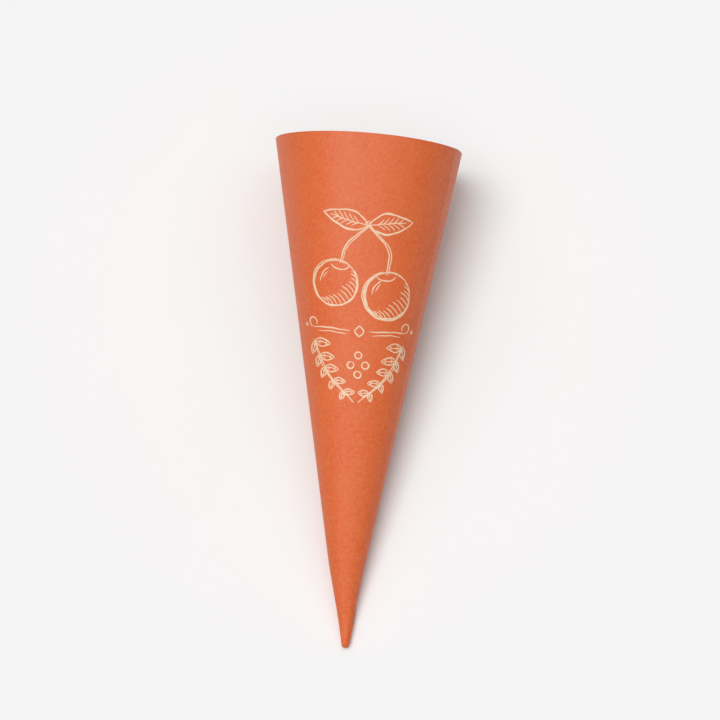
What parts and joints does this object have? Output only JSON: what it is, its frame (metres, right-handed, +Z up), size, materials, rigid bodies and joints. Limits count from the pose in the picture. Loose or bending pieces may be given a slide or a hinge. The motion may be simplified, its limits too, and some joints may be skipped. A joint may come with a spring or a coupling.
{
  "type": "ice cream cone sleeve",
  "caption": "Rolled card sleeve that wraps a rolled sugar cone: a long tapered cone with a glued lap seam, an open mouth and a small open tip.",
  "frame": {"origin": "middle of the underside of the bounding box, as the sleeve lies on its side on a table", "axes": "+Y points from the tip to the open mouth, +Z is up, +X is to the right when looking from the tip to the mouth"},
  "size_m": [0.0518, 0.1404, 0.0473],
  "materials": {
    "card": "matte"
  },
  "bodies": {
    "root": {"sleeve": "card"}
  },
  "joints": []
}
